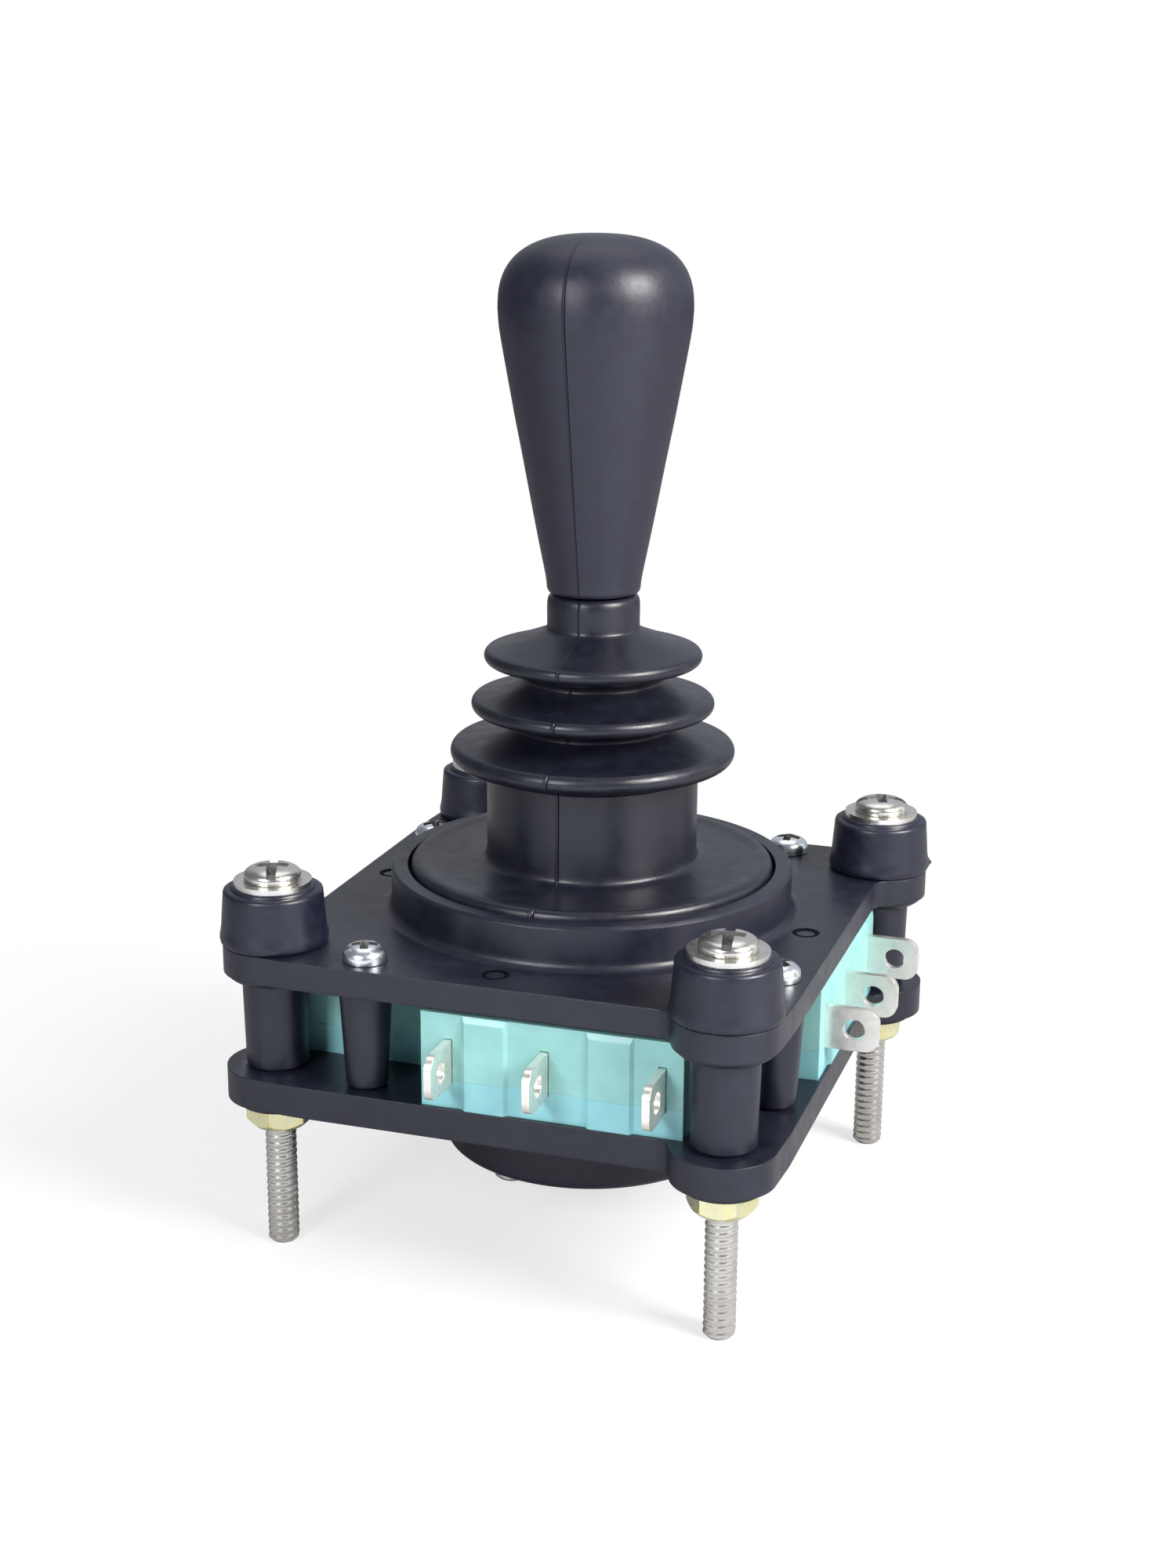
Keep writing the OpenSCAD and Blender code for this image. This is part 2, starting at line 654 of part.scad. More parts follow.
// Slice of a ball, with a stub that seats under the hub
module actuator_ball() {
    stub_r = 4.4;
    color("#e8e4d8") difference() {
        union() {
            intersection() {
                translate([0, 0, ball_z]) sphere(ball_r, $fn = 96);
                translate([0, 0, ball_z - ball_t / 2]) cylinder(h = ball_t, r = ball_r + 1);
            }
            translate([0, 0, ball_z]) cylinder(h = pivot_z - hub_h / 2 - ball_z, r = stub_r);
        }
        translate([0, 0, ball_z - ball_r]) cylinder(h = pivot_z - ball_z + ball_r, r = shaft_r + press_fit);
    }
}

// Open retaining clip in its groove
module ball_clip() {
    outer = shaft_r + 1.5;
    color(steel) translate([0, 0, clip_z]) difference() {
        cylinder(h = clip_t, r = outer);
        translate([0, 0, -cut]) cylinder(h = clip_t + 2 * cut, r = clip_groove_r + press_fit);
        translate([0, -clip_groove_r * 0.8, -cut]) cube([outer + 1, clip_groove_r * 1.6, clip_t + 2 * cut]);
    }
}

module spring_seat() {
    rim = spring_top_r + spring_wire_d / 2 + 0.1;
    color(zinc) translate([0, 0, spring_seat_z]) difference() {
        union() {
            cylinder(h = seat_t, r = rim);
            translate([0, 0, -1.2]) cylinder(h = 1.3, r = spring_top_r - spring_wire_d / 2 - seat_gap / 2);
        }
        translate([0, 0, -2]) cylinder(h = seat_t + 3, r = tip_r + press_fit);
    }
}

// Handle: cone, arc and a full dome
module handle() {
    r = handle_d / 2;
    foot = handle_foot_d / 2;
    widest = handle_l - dome_h;
    // The cone is a little steeper than the chord, and an arc eases it into the widest place
    steeper = 1.055;
    taper = atan((r - foot) * steeper / widest);
    arc_r = (foot + widest * tan(taper) - r) / (1 / cos(taper) - 1);
    dome = [for (i = [1:20]) let (a = 90 * i / 20)
        [r * pow(max(0, cos(a)), 2 / dome_power), widest + dome_h * pow(sin(a), 2 / dome_power)]];
    side = [for (i = [6:-1:0]) let (a = taper * i / 6) [r - arc_r + arc_r * cos(a), widest - arc_r * sin(a)]];
    color(black_rubber) translate([0, 0, handle_z]) difference() {
        rotate_extrude($fn = 96) polygon(concat([[0, 0], [foot - 0.45, 0], [foot - 0.13, 0.13], [foot, 0.45]],
            side, dome));
        translate([0, 0, -cut]) cylinder(h = 1 + 2 * cut, r = shaft_r + screw_fit);
        translate([0, 0, insert_z - handle_z]) cylinder(h = insert_l, r = insert_d / 2 + press_fit);
        translate([0, 0, insert_z - handle_z]) cylinder(h = insert_l + 2, r = shaft_r + screw_fit);
    }
}

module handle_insert() {
    color(brass) translate([0, 0, insert_z]) difference() {
        cylinder(h = insert_l, r = insert_d / 2);
        translate([0, 0, -cut]) cylinder(h = insert_l + 2 * cut, r = shaft_r + press_fit);
    }
}

// ---- Boot ----

// Rounded rim of a fold as an outer profile, from its underside to its top
function fold(r, z, t) = arc([r - t, z], t, -80, 80, 8);

module boot() {
    w = boot_wall;
    tube = boot_d / 2;
    neck = neck_d / 2;
    flange = flange_d / 2;
    base = seat_z + seat_gap;
    rim = 0.9;
    valley_low = tube - 3;
    valley_high = tube - 3.6;
    outer = concat(
        [[flange - 0.5, base]], arc([flange - rim, base + flange_t - rim], rim, 0, 90, 5),
        [[tube + 4, base + flange_t + 0.25], [tube + 1, base + flange_t + 0.5],
            [tube + 0.3, base + flange_t + 0.8], [tube, base + flange_t + 1.4],
            [tube, low_z - 2.2], [tube + 0.4, low_z - 1.7]],
        fold(fold_low_d / 2, low_z, 1.15),
        [[valley_low + 0.8, mid_z - 3.1], [valley_low, mid_z - 2.5], [valley_low + 0.8, mid_z - 1.9]],
        fold(fold_mid_d / 2, mid_z, 0.9),
        [[valley_high + 0.8, high_z - 3], [valley_high, high_z - 2.4], [valley_high + 0.8, high_z - 1.8]],
        fold(fold_high_d / 2, high_z, 0.8),
        [[neck + 2.2, high_z + 1.75], [neck + 0.8, high_z + 2.3], [neck, high_z + 3.3],
            [neck, neck_top_z - 0.6], [neck - 0.2, neck_top_z - 0.2], [neck - 0.6, neck_top_z]]);
    inner = concat(
        [[shaft_r + seat_gap, neck_top_z], [shaft_r + seat_gap, neck_bead_z + 0.5],
            [shaft_r + seat_gap - neck_bead, neck_bead_z + 0.25],
            [shaft_r + seat_gap - neck_bead, neck_bead_z - 0.25], [shaft_r + seat_gap, neck_bead_z - 0.5],
            [shaft_r + seat_gap, high_z + 2.4], [neck + 0.6, high_z + 0.9],
            [fold_high_d / 2 - w - 0.6, high_z + 0.1], [valley_high - w, high_z - 2.2],
            [valley_high - w, high_z - 2.6], [fold_mid_d / 2 - w - 0.7, mid_z + 0.1],
            [valley_low - w, mid_z - 2.3], [valley_low - w, mid_z - 2.7],
            [fold_low_d / 2 - w - 1, low_z + 0.2], [fold_low_d / 2 - w - 1, low_z - 0.1],
            [tube - w, low_z - 1.8], [tube - w, base]]);
    color(black_rubber) rotate_extrude($fn = 96) polygon(concat(outer, inner));
}

// ---- Switches ----
// Each is drawn as the front one, terminals towards -Y, and turned to its side.

module case_outline() {
    difference() {
        translate([case_x0, case_y0]) square([switch_l, switch_w]);
        // The steps, each between two of these ends, with bevelled blocks left between them
        for (step = [[case_x0 - cut, barriers[0][0]], [barriers[0][1], barriers[1][0]],
                [barriers[1][1], case_x1 + cut]])
            polygon([[step[0] - barrier_bevel, case_y0 - cut], [step[0] - barrier_bevel, case_y0],
                [step[0], case_y0 + barrier_step], [step[1], case_y0 + barrier_step],
                [step[1] + barrier_bevel, case_y0], [step[1] + barrier_bevel, case_y0 - cut]]);
    }
}

module case_cavity() {
    difference() {
        translate([case_x0 + case_wall, case_y0 + barrier_step + case_wall])
            square([switch_l - 2 * case_wall, switch_w - barrier_step - 2 * case_wall]);
        for (hole = case_holes) translate(hole) circle(case_hole_d / 2 + case_hole_wall);
    }
}

module case_cuts() {
    for (hole = case_holes) translate([hole.x, hole.y, switch_z - cut])
        cylinder(h = switch_t + 2 * cut, d = case_hole_d);
    for (x = tab_x) translate([x - tab_t / 2 - case_fit, case_y0 - cut, blade_z - tab_w / 2 - case_fit])
        cube([tab_t + 2 * case_fit, barrier_step + case_wall + 1, tab_w + 2 * case_fit]);
    translate([plunger_x, case_y1 - case_wall - cut, blade_z]) rotate([-90, 0, 0])
        cylinder(h = case_wall + 2 * cut, r = plunger_d / 2 + run_fit);
}

module leaf_ears(low, high) {
    for (z = [blade_z - ear_in_z - 1.2, blade_z + ear_in_z]) if (z > low && z < high)
        translate([0, 0, z]) linear_extrude(1.2) difference() {
            union() {
                translate(leaf_pivot) circle(1.1);
                translate([leaf_pivot.x - 1.1, case_y1 - cut]) square([2.2, leaf_pivot.y - case_y1 + cut]);
            }
            translate(leaf_pivot) circle(leaf_pin_r + press_fit);
        }
}

module switch_base() {
    corner = 1.5;
    color(mint) {
        difference() {
            intersection() {
                translate([0, 0, split_z]) linear_extrude(case_top - split_z) case_outline();
                // Round upper corner
                translate([0, case_y1, 0]) rotate([90, 0, 0]) linear_extrude(switch_w) {
                    translate([case_x0, split_z]) square([switch_l - corner, case_top - split_z]);
                    translate([case_x0, split_z]) square([switch_l, case_top - split_z - corner]);
                    translate([case_x1 - corner, case_top - corner]) circle(corner);
                }
            }
            translate([0, 0, split_z - cut])
                linear_extrude(case_top - case_wall - split_z + cut) case_cavity();
            case_cuts();
            // Bevel along the blocks' upper edges
            translate([case_x0 - cut, 0, 0]) rotate([90, 0, 90]) linear_extrude(switch_l + 2 * cut)
                polygon([[case_y0 - cut, case_top - barrier_top_bevel],
                    [case_y0, case_top - barrier_top_bevel],
                    [case_y0 + barrier_step, case_top + cut], [case_y0 - cut, case_top + cut]]);
        }
        leaf_ears(split_z, case_top);
    }
}

module switch_cover() {
    color(mint_cover) {
        difference() {
            translate([0, 0, switch_z]) linear_extrude(cover_t) case_outline();
            translate([0, 0, switch_z + case_wall]) linear_extrude(cover_t) case_cavity();
            case_cuts();
        }
        leaf_ears(switch_z - 1, split_z);
    }
}

// One terminal: outer blade with its hole, and a stem inside the case
module terminal(x, stem) {
    outer_y = case_y0 + barrier_step - tab_l;
    translate([x + tab_t / 2, 0, blade_z]) rotate([0, -90, 0]) linear_extrude(tab_t) difference() {
        union() {
            translate([-tab_w / 2, outer_y + tab_corner_r])
                square([tab_w, tab_l + case_wall + stem - tab_corner_r]);
            translate([-tab_w / 2 + tab_corner_r, outer_y])
                square([tab_w - 2 * tab_corner_r, 2 * tab_corner_r]);
            for (side = [-1, 1]) translate([side * (tab_w / 2 - tab_corner_r), outer_y + tab_corner_r])
                circle(tab_corner_r);
        }
        translate([0, outer_y + tab_hole_in]) circle(d = tab_hole_d);
    }
}

module common_terminals() { color(steel) sides() terminal(tab_x[0], common_stem); }
module closed_terminals() { color(steel) sides() terminal(tab_x[1], contact_stem); }
module open_terminals() { color(steel) sides() terminal(tab_x[2], contact_stem); }

// Snap blade inside each switch: it stands on the common terminal and carries a contact
module contact_blades() {
    blade_h = 3.2;
    reach = tab_x[2] - tab_x[0] + 1;
    color(brass) sides() translate([tab_x[0] - tab_t / 2, blade_y, blade_z - blade_h / 2]) {
        difference() {
            cube([reach, snap_t, blade_h]);
            translate([reach * 0.2, -cut, 1]) cube([reach * 0.5, snap_t + 2 * cut, blade_h - 2]);
        }
        translate([reach - 1.4, snap_t / 2, blade_h / 2]) rotate([90, 0, 0]) cylinder(h = 1, r = 1);
    }
}

module leaf_pins() {
    color(steel) sides() translate([leaf_pivot.x, leaf_pivot.y, blade_z - ear_in_z - 1.2])
        cylinder(h = 2 * ear_in_z + 2.4, r = leaf_pin_r);
}

module plunger() {
    color("#c9453a") translate([plunger_x, plunger_y, blade_z]) rotate([90, 0, 0]) {
        r = plunger_d / 2;
        cap = plunger_y - case_y1 + case_wall + 0.9;
        rod = plunger_y - blade_y - snap_t - plunger_play;
        rotate_extrude() polygon(concat(arc([0, r], r, -90, 0, 8),
            [[r, cap], [0.8, cap], [0.8, rod], [0, rod]]));
    }
}

// Operating lever: eye, strip and rolled bump, in one bent strip
module leaf() {
    bump_r = 1.3;
    bump_sink = 0.37;
    color(steel) translate([leaf_pivot.x, leaf_pivot.y, blade_z - leaf_w / 2]) rotate(-leaf_angle)
    linear_extrude(leaf_w) difference() {
        union() {
            circle(leaf_eye_r);
            translate([-leaf_arm, -leaf_t / 2]) square([leaf_arm, leaf_t]);
            translate([-leaf_arm - 1.8, -leaf_t / 2]) square([1.8, leaf_t]);
            intersection() {
                translate([-leaf_arm, -bump_sink]) circle(bump_r);
                translate([-leaf_arm - 2, -leaf_t / 2]) square([4, 3]);
            }
        }
        circle(leaf_pin_r + run_fit);
        intersection() {
            translate([-leaf_arm, -bump_sink]) circle(bump_r - leaf_t);
            translate([-leaf_arm - 2, -leaf_t]) square([4, 3]);
        }
    }
}

top_plate();
bottom_plate();
spring_housing();
gimbal_keeper();
rubber_spacers();
corner_screws();
corner_washers();
corner_nuts();
plate_screws();
housing_screws();
keeper_screws();
boot();
return_spring();
switch_base();  // switch_base_front
rotate(90) switch_base();  // switch_base_right
rotate(180) switch_base();  // switch_base_back
rotate(270) switch_base();  // switch_base_left
switch_cover();  // switch_cover_front
rotate(90) switch_cover();  // switch_cover_right
rotate(180) switch_cover();  // switch_cover_back
rotate(270) switch_cover();  // switch_cover_left
common_terminals();
closed_terminals();
open_terminals();
contact_blades();
leaf_pins();
plunger();  // plunger_front
rotate(90) plunger();  // plunger_right
rotate(180) plunger();  // plunger_back
rotate(270) plunger();  // plunger_left
leaf();  // leaf_front
rotate(90) leaf();  // leaf_right
rotate(180) leaf();  // leaf_back
rotate(270) leaf();  // leaf_left
gimbal_ring();
gimbal_pins();
lever_shaft();
cross_pin();
actuator_ball();
ball_clip();
spring_seat();
handle();
handle_insert();
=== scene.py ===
import json
from math import atan2, cos, hypot, pi, radians, sin

import bmesh
import bpy
from mathutils import Matrix, Vector

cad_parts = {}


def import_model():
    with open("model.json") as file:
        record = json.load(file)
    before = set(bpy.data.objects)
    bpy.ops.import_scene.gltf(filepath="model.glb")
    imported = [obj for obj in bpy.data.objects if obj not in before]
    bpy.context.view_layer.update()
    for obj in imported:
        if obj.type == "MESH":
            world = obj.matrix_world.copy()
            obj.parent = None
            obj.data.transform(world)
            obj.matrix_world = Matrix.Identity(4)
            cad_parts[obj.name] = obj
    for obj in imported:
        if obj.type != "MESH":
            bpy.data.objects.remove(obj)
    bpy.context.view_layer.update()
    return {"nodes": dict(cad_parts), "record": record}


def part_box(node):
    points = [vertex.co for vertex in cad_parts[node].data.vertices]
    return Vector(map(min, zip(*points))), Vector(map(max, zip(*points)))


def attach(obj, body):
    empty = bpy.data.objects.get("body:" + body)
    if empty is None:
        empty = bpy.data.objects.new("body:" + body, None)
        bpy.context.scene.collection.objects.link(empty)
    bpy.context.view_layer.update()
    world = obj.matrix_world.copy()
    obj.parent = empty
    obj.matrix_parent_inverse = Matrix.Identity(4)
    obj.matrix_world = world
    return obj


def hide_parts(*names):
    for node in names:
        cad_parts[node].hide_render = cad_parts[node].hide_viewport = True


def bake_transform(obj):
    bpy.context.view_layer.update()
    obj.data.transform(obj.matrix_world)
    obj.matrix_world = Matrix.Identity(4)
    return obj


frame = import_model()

MM = 0.001


# ---- Camera ----

# Where the camera stands, in millimetres, and how it is turned, in degrees
CAMERA_AT = Vector((74.195, -231.285, 118.488))
CAMERA_AZIMUTH, CAMERA_ELEVATION, CAMERA_ROLL = 18.103, 16.148, 0.334
SENSOR = 36
FOCAL_SHARE = 1.47555  # focal length over the longer side of the picture


def add_camera():
    """Adds the camera. Gives the directions from the object towards it and to its right."""
    azimuth, elevation, roll = radians(CAMERA_AZIMUTH), radians(CAMERA_ELEVATION), radians(CAMERA_ROLL)
    back = Vector((sin(azimuth) * cos(elevation), -cos(azimuth) * cos(elevation), sin(elevation)))
    right = Vector((cos(azimuth), sin(azimuth), 0))
    up = back.cross(right)
    right, up = right * cos(roll) + up * sin(roll), up * cos(roll) - right * sin(roll)
    data = bpy.data.cameras.new("camera")
    data.sensor_width = SENSOR
    data.lens = SENSOR * FOCAL_SHARE
    data.clip_start, data.clip_end = 0.01, 50
    camera = bpy.data.objects.new("camera", data)
    bpy.context.scene.collection.objects.link(camera)
    turn = Matrix((right, up, back)).transposed().to_4x4()
    camera.matrix_world = Matrix.Translation(CAMERA_AT * MM) @ turn
    bpy.context.scene.camera = camera
    return back, right


BACK, RIGHT = add_camera()


# ---- Materials ----

def set_range(node, start, end, low, high):
    """Makes a Map Range node turn start..end into low..high."""
    for key, value in zip(("From Min", "From Max", "To Min", "To Max"), (start, end, low, high)):
        node.inputs[key].default_value = value


class Nodes:
    """A small builder for one material's nodes. Noise sizes and depths are in millimetres."""

    def __init__(self, name):
        self.material = bpy.data.materials.new(name)
        self.material.use_nodes = True
        self.tree = self.material.node_tree
        self.tree.nodes.clear()
        self.output = self.add("ShaderNodeOutputMaterial")
        self.shader = self.add("ShaderNodeBsdfPrincipled")
        self.link(self.shader.outputs[0], self.output.inputs[0])
        self.place = self.add("ShaderNodeTexCoord").outputs["Object"]

    def add(self, kind, **values):
        node = self.tree.nodes.new(kind)
        for key, value in values.items():
            setattr(node, key, value)
        return node

    def link(self, a, b):
        self.tree.links.new(a, b)

    def set(self, **values):
        for key, value in values.items():
            self.shader.inputs[key.replace("_", " ")].default_value = value

    def scaled(self, scale):
        if scale == (1, 1, 1):
            return self.place
        mapping = self.add("ShaderNodeMapping")
        mapping.inputs["Scale"].default_value = scale
        self.link(self.place, mapping.inputs["Vector"])
        return mapping.outputs[0]

    def noise(self, size_mm, detail=4, rough=0.55, stretch=(1, 1, 1)):
        node = self.add("ShaderNodeTexNoise")
        node.inputs["Scale"].default_value = 1 / (size_mm * MM)
        node.inputs["Detail"].default_value = detail
        node.inputs["Roughness"].default_value = rough
        self.link(self.scaled(stretch), node.inputs["Vector"])
        return node.outputs["Fac"]

    def ramp(self, fac, stops):
        node = self.add("ShaderNodeValToRGB")
        elements = node.color_ramp.elements
        while len(elements) < len(stops):
            elements.new(0.5)
        for element, (at, colour) in zip(elements, stops):
            element.position = at
            element.color = (*colour, 1)
        self.link(fac, node.inputs[0])
        return node.outputs[0]

    def grey(self, fac, low, high, start=0.3, end=0.7, **values):
        node = self.add("ShaderNodeMapRange", **values)
        set_range(node, start, end, low, high)
        self.link(fac, node.inputs["Value"])
        return node.outputs[0]

    def mix_colour(self, share, low, high):
        """A colour from low to high. The Mix node's colours go in at 6 and 7 and come out at 2."""
        node = self.add("ShaderNodeMix", data_type="RGBA")
        self.link(share, node.inputs[0])
        self.link(low, node.inputs[6])
        if isinstance(high, tuple):
            node.inputs[7].default_value = high
        else:
            self.link(high, node.inputs[7])
        return node.outputs[2]

    def bump(self, parts, edge_mm=0.0):
        """Bump from (height, depth) pairs over edges that look rounded by edge_mm."""
        normal = None
        if edge_mm:
            bevel = self.add("ShaderNodeBevel", samples=4)
            bevel.inputs["Radius"].default_value = edge_mm * MM
            normal = bevel.outputs[0]
        for height, depth_mm in parts:
            node = self.add("ShaderNodeBump")
            node.inputs["Distance"].default_value = depth_mm * MM
            node.inputs["Strength"].default_value = 1
            self.link(height, node.inputs["Height"])
            if normal:
                self.link(normal, node.inputs["Normal"])
            normal = node.outputs[0]
        if normal:
            self.link(normal, self.shader.inputs["Normal"])


def moulded(name, dark, light, rough, patch_mm, grain_mm, grain_depth, edge_mm, coat=0.0, shine=0.5):
    """Moulded plastic or rubber: cloudy colour, patchy gloss, and a fine eroded grain."""
    n = Nodes(name)
    cloud = n.noise(patch_mm, 5, 0.6)
    grain = n.noise(grain_mm, 3, 0.6)
    wave = n.noise(patch_mm * 1.7, 2, 0.5)
    n.link(n.ramp(cloud, [(0.3, dark), (0.7, light)]), n.shader.inputs["Base Color"])
    n.link(n.grey(cloud, rough[0], rough[1]), n.shader.inputs["Roughness"])
    n.set(Specular_IOR_Level=shine, Coat_Weight=coat, Coat_Roughness=0.3)
    n.bump([(wave, 0.05), (grain, grain_depth)], edge_mm)
    return n.material


def metal(name, stops, rough, scratch_mm, depth, edge_mm, stretch=(1, 1, 1), metallic=1.0):
    """Plated or bare metal: tinted colour, patchy gloss and fine scratches along a stretch."""
    n = Nodes(name)
    tint = n.noise(1.6, 3, 0.6)
    marks = n.noise(scratch_mm, 3, 0.6, stretch)
    n.link(n.ramp(tint, stops), n.shader.inputs["Base Color"])
    n.link(n.grey(marks, rough[0], rough[1]), n.shader.inputs["Roughness"])
    n.set(Metallic=metallic)
    n.bump([(marks, depth)] if depth else [], edge_mm)
    return n.material


MATERIALS = {
    "black_plastic": moulded("black_plastic", (0.006, 0.007, 0.0145), (0.011, 0.012, 0.024),
                             (0.32, 0.44), 2.4, 0.35, 0.007, 0.22),
    "spacer_rubber": moulded("spacer_rubber", (0.005, 0.006, 0.015), (0.010, 0.011, 0.025),
                             (0.33, 0.45), 1.6, 0.3, 0.009, 0.0),
    "boot_rubber": moulded("boot_rubber", (0.005, 0.0055, 0.011), (0.009, 0.010, 0.018),
                           (0.3, 0.42), 2.0, 0.4, 0.010, 0.0),
    "handle_rubber": moulded("handle_rubber", (0.006, 0.0065, 0.015), (0.010, 0.0105, 0.024),
                             (0.38, 0.5), 2.2, 0.45, 0.016, 0.0),
    "stainless": metal("stainless", [(0.3, (0.62, 0.60, 0.56)), (0.7, (0.74, 0.72, 0.68))],
                       (0.24, 0.32), 0.5, 0, 0),
    # A darker, rougher steel for the faces inside the screw heads' recesses: painted shade.
    "painted_shade_steel": metal("painted_shade_steel", [(0.3, (0.20, 0.195, 0.185)), (0.7, (0.30, 0.29, 0.28))],
                          (0.3, 0.42), 0.3, 0, 0),
    "bright_zinc": metal("bright_zinc", [(0.35, (0.74, 0.78, 0.82)), (0.65, (0.84, 0.87, 0.9))],
                         (0.24, 0.34), 0.4, 0, 0),
    "yellow_zinc": metal("yellow_zinc",
                         [(0.3, (0.82, 0.74, 0.36)), (0.45, (0.84, 0.80, 0.46)), (0.58, (0.76, 0.78, 0.52)),
                          (0.7, (0.84, 0.72, 0.42))], (0.24, 0.36), 0.5, 0, 0, metallic=0.9),
    "spring_steel": metal("spring_steel", [(0.3, (0.52, 0.52, 0.52)), (0.7, (0.66, 0.66, 0.65))],
                          (0.25, 0.4), 0.2, 0.001, 0.0),
    "shaft_steel": metal("shaft_steel", [(0.3, (0.5, 0.5, 0.5)), (0.7, (0.62, 0.62, 0.61))],
                         (0.28, 0.42), 0.2, 0.001, 0.0, (1, 1, 0.2)),
    "brass": metal("brass", [(0.3, (0.62, 0.46, 0.2)), (0.7, (0.74, 0.57, 0.27))],
                   (0.25, 0.4), 0.2, 0.001, 0.0),
    "tab_plate": metal("tab_plate",
                       [(0.3, (0.78, 0.74, 0.66)), (0.6, (0.86, 0.84, 0.79)), (0.8, (0.88, 0.87, 0.85))],
                       (0.26, 0.36), 0.8, 0, 0.08, metallic=0.85),
    "switch_green": moulded("switch_green", (0.225, 0.47, 0.45), (0.26, 0.53, 0.505),
                            (0.34, 0.44), 2.6, 0.25, 0.003, 0.12),
    "cover_green": moulded("cover_green", (0.205, 0.475, 0.51), (0.24, 0.53, 0.56),
                           (0.34, 0.44), 2.6, 0.25, 0.003, 0.12),
    # Near-black with almost no gloss, for the ejector-pin rings: painted shade of the marks' grooves.
    "mark_painted_shade": moulded("mark_painted_shade", (0.002, 0.002, 0.003), (0.004, 0.004, 0.006),
                          (0.6, 0.75), 1.5, 0.25, 0.004, 0.0, shine=0.05),
    "plunger_red": moulded("plunger_red", (0.36, 0.02, 0.015), (0.46, 0.03, 0.02),
                           (0.35, 0.45), 1.5, 0.25, 0.004, 0.05),
    "acetal": moulded("acetal", (0.66, 0.63, 0.55), (0.74, 0.71, 0.64), (0.35, 0.45), 2.4, 0.3, 0.004, 0.1),
}


def finish_with(piece, slot):
    """Gives a new piece the material named by slot."""
    piece.data.materials.clear()
    piece.data.materials.append(MATERIALS[slot])
    return piece


SLOTS = {part["node"]: part["material_slot"] for part in frame["record"]["subparts"]}
for name, thing in frame["nodes"].items():
    for slot in thing.material_slots:
        slot.material = MATERIALS[SLOTS[name]]
    if not thing.material_slots:
        thing.data.materials.append(MATERIALS[SLOTS[name]])


# ---- Meshes ----

def build(name, verts, faces, slot, angle=35):
    """A new piece from points in millimetres, smooth except at edges sharper than angle."""
    mesh = bpy.data.meshes.new(name)
    mesh.from_pydata([tuple(c * MM for c in v) for v in verts], [], faces)
    mesh.validate()
    bm = bmesh.new()
    bm.from_mesh(mesh)
    bmesh.ops.remove_doubles(bm, verts=bm.verts, dist=1e-8)
    bmesh.ops.recalc_face_normals(bm, faces=bm.faces)
    bm.to_mesh(mesh)
    bm.free()
    mesh.shade_smooth()
    mesh.set_sharp_from_angle(angle=radians(angle))
    piece = bpy.data.objects.new(name, mesh)
    bpy.context.scene.collection.objects.link(piece)
    return finish_with(piece, slot)


def grid_faces(rows, columns, first=0, closed_rows=False):
    """Faces of a grid whose rows are rings of columns points."""
    faces = []
    for i in range(rows if closed_rows else rows - 1):
        for j in range(columns):
            a, b = first + i * columns, first + (i + 1) % rows * columns
            k = (j + 1) % columns
            faces.append((a + j, a + k, b + k, b + j))
    return faces


def smooth_line(points, steps=4):
    """Points along a Catmull-Rom spline through points, which keeps every given point."""
    out = []
    for i in range(len(points) - 1):
        a = points[max(i - 1, 0)]
        b, c = points[i], points[i + 1]
        d = points[min(i + 2, len(points) - 1)]
        for s in range(steps):
            t = s / steps
            out.append(tuple(0.5 * (2 * b[k] + (c[k] - a[k]) * t
                                    + (2 * a[k] - 5 * b[k] + 4 * c[k] - d[k]) * t * t
                                    + (3 * b[k] - a[k] - 3 * c[k] + d[k]) * t ** 3) for k in (0, 1)))
    return out + [points[-1]]


def rounded(points):
    """Two rounds of corner cutting, which keep both ends."""
    for _ in range(2):
        out = [points[0]]
        for a, b in zip(points, points[1:]):
            out += [tuple(0.75 * p + 0.25 * q for p, q in zip(a, b)),
                    tuple(0.25 * p + 0.75 * q for p, q in zip(a, b))]
        points = out + [points[-1]]
    return points


def circle(at, r, z, sides):
    """Points of a level circle."""
    return [(at[0] + r * cos(a), at[1] + r * sin(a), z) for a in (2 * pi * j / sides for j in range(sides))]


def quarter_turns(r, first):
    """Four places at radius r, from the one at angle first."""
    return [(r * cos(a), r * sin(a)) for a in (first + k * pi / 2 for k in range(4))]


# Across a mould seam: the angle from it in degrees, and how far the skin stands off
SEAM = [(-1.5, 0.0), (-0.9, 0.05), (-0.35, 0.06), (0.0, -0.09), (0.35, 0.03), (0.9, 0.02), (1.5, 0.0)]
SEAM_REACH = 2.0  # degrees to each side that hold no other point
SEAM_FULL_R = 2.5  # at smaller radii a seam stands off less


def seam_angles(sides, seams):
    """Angles of a lathe, with (angle, stand-off), finer across each seam."""
    step = 2 * pi / sides
    out = []
    for seam in seams:
        out += [(seam + radians(a), off) for a, off in SEAM]
    for i in range(sides):
        angle = i * step
        if all(abs((angle - seam + pi) % (2 * pi) - pi) > radians(SEAM_REACH) for seam in seams):
            out.append((angle, 0.0))
    return sorted(((a % (2 * pi), off) for a, off in out))


def lathe(name, profile, slot, at=(0, 0), sides=160, seams=(), closed=False, angle=35):
    """A profile of (radius, height) turned about a vertical axis.

    closed joins the profile's last point to its first."""
    angles = seam_angles(sides, seams)
    verts = []
    for r, z in profile:
        share = min(1.0, r / SEAM_FULL_R)
        for a, off in angles:
            q = max(0.0, r + off * share)
            verts.append((at[0] + q * cos(a), at[1] + q * sin(a), z))
    faces = grid_faces(len(profile), len(angles), closed_rows=closed)
    return build(name, verts, faces, slot, angle)


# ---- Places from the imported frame, in millimetres ----

def box_mm(node):
    """A node's low and high corners."""
    low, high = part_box(node)
    return [c / MM for c in low], [c / MM for c in high]


